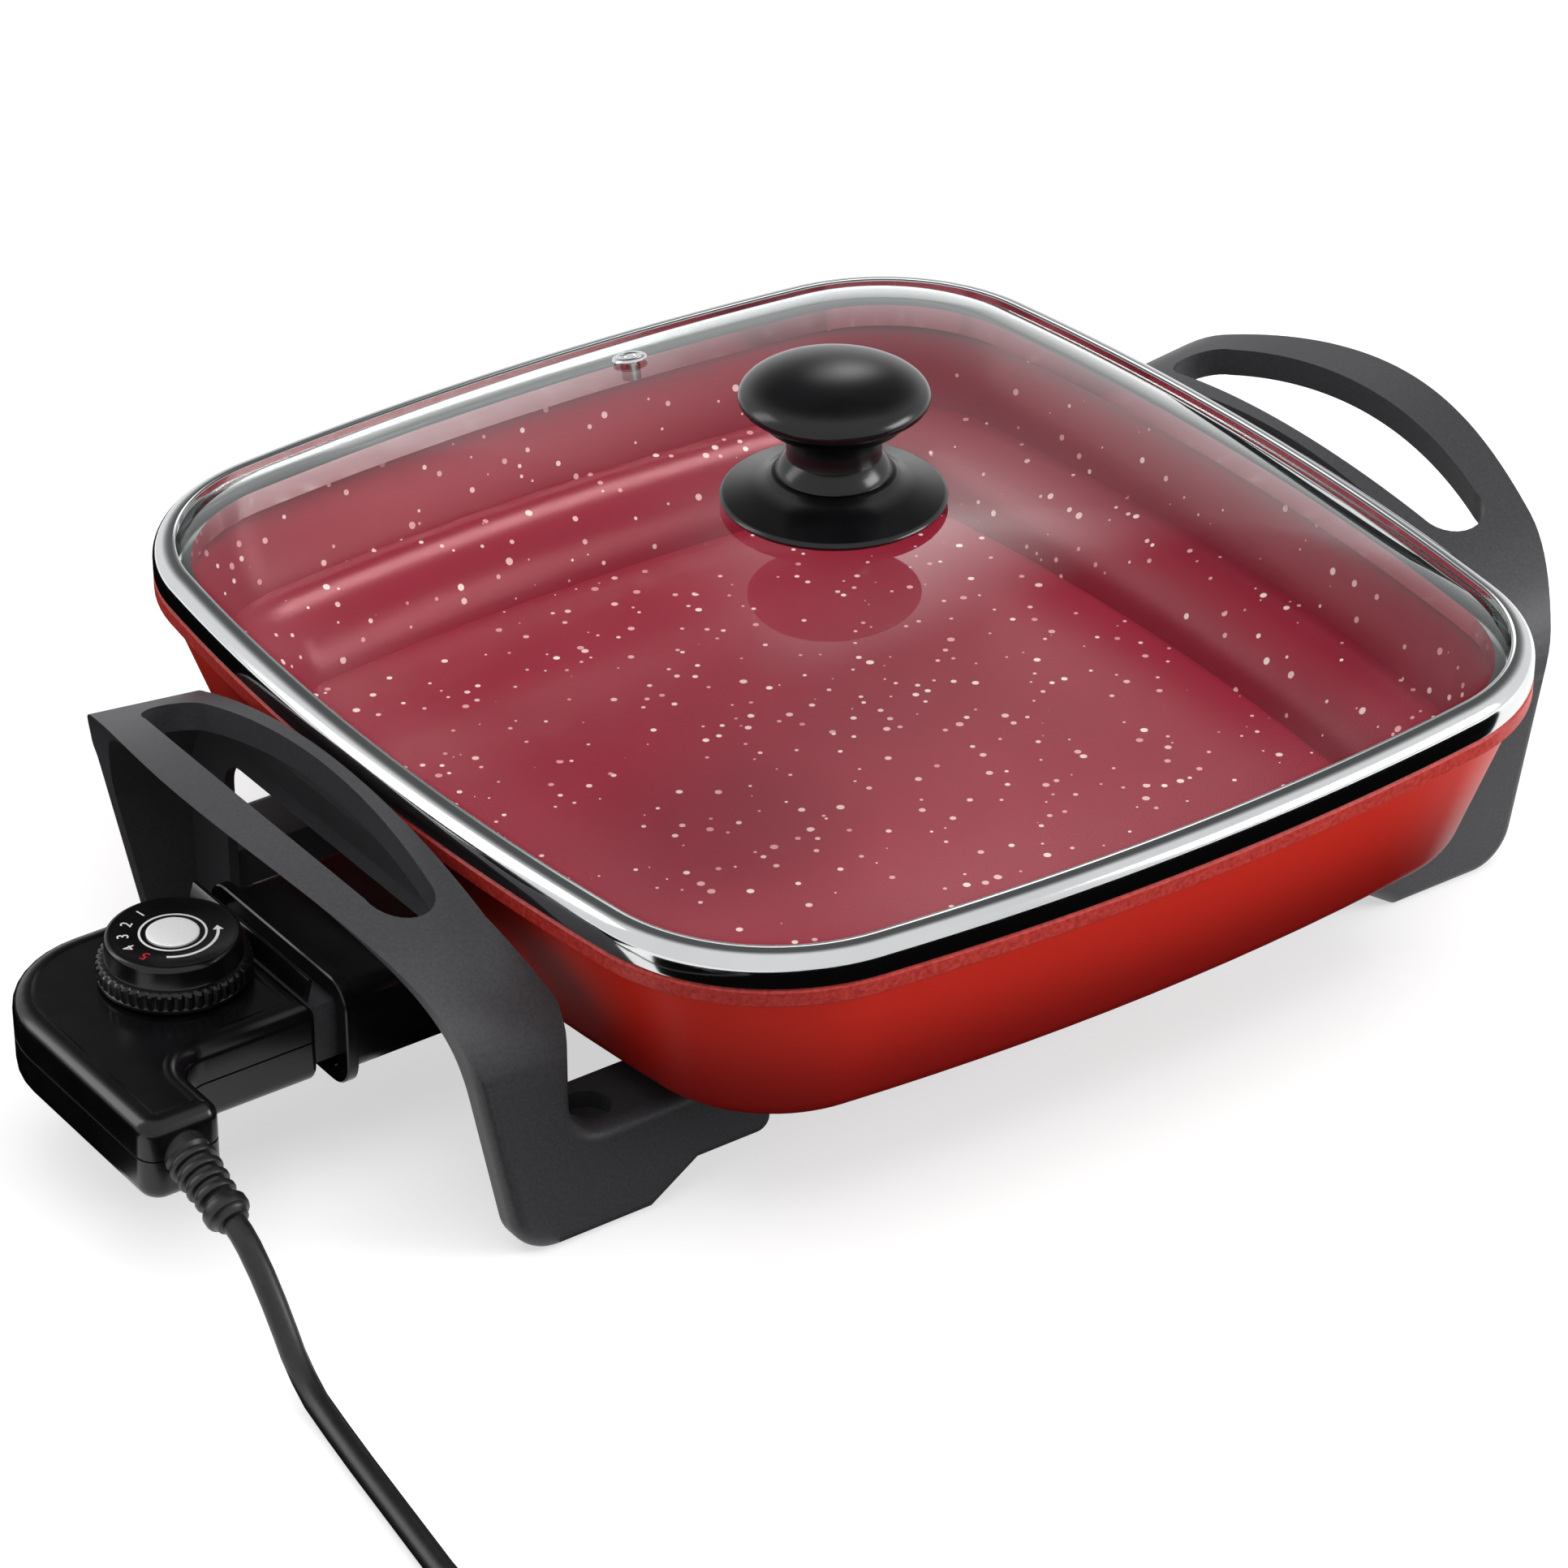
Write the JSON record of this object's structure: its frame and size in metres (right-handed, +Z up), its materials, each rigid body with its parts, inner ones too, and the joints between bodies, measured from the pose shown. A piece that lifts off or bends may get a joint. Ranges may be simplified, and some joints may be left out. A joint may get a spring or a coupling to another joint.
{
  "type": "electric skillet",
  "caption": "Square electric skillet with a cast pan, lift-off domed glass lid, arched handle-and-leg brackets and a plug-in thermostat control on a cord.",
  "frame": {"origin": "bottom centre of the skillet's box without its cord, on the table under the feet", "axes": "+Z up, -X toward the thermostat control, -Y toward the side on which the cord leaves"},
  "size_m": [0.5669, 0.4481, 0.1655],
  "materials": {
    "pan_enamel": "cast aluminium with glossy red enamel outside and a dark red speckled non-stick coating inside",
    "element_sheath": "dull steel sheath cast into the base",
    "steel": "plated steel",
    "polished_steel": "polished steel band",
    "ceramic": "ivory ceramic",
    "bracket_plastic": "satin black phenolic",
    "black_plastic": "gloss black moulded plastic",
    "block_plastic": "matt dark moulded plastic",
    "glass": "clear tempered glass",
    "silicone": "matt silicone",
    "brass": "brass strip",
    "dial_silver": "satin silver insert",
    "cord_jacket": "black PVC jacket",
    "tie_plastic": "black strap"
  },
  "bodies": {
    "skillet": {"pan": "pan_enamel", "heating_element": "element_sheath", "terminal_pins": "steel", "terminal_insulators": "ceramic", "terminal_guard": "black_plastic", "control_side_bracket": "bracket_plastic", "far_side_bracket": "bracket_plastic", "bracket_screws": "steel", "guard_screws": "steel"},
    "lid": {"lid_glass": "glass", "lid_rim": "polished_steel", "steam_vent": "polished_steel", "knob": "black_plastic", "knob_base": "black_plastic", "knob_gasket": "silicone", "knob_washer": "steel", "knob_screw": "steel"},
    "control": {"control_top_cover": "black_plastic", "control_base_cover": "black_plastic", "terminal_block": "block_plastic", "terminal_sockets": "brass", "probe_tube": "steel", "probe_rod": "steel", "thermostat_frame": "steel", "fixed_contact_blade": "brass", "moving_contact_blade": "brass", "contact_insulators": "ceramic", "contact_rivet": "brass", "cord_clamp": "block_plastic", "control_screws": "steel", "strain_relief": "cord_jacket", "cord_lead": "cord_jacket", "cord_coil": "cord_jacket", "cord_tie": "tie_plastic", "cord_tail": "cord_jacket", "plug_body": "cord_jacket", "plug_pins": "brass"},
    "dial": {"dial": "black_plastic", "dial_cap": "dial_silver", "dial_spindle": "steel"}
  },
  "joints": [
    {"name": "lid_lift", "type": "slide", "parent": "skillet", "child": "lid", "axis": [0, 0, 1], "range_m": [0, 0.15]},
    {"name": "control_pull", "type": "slide", "parent": "skillet", "child": "control", "axis": [-1, 0, 0], "range_m": [0, 0.12]},
    {"name": "dial_turn", "type": "hinge", "parent": "control", "child": "dial", "pos_m": [-0.18438, 0, 0.055], "axis": [0, 0, 1], "range_deg": [0, 270]}
  ]
}
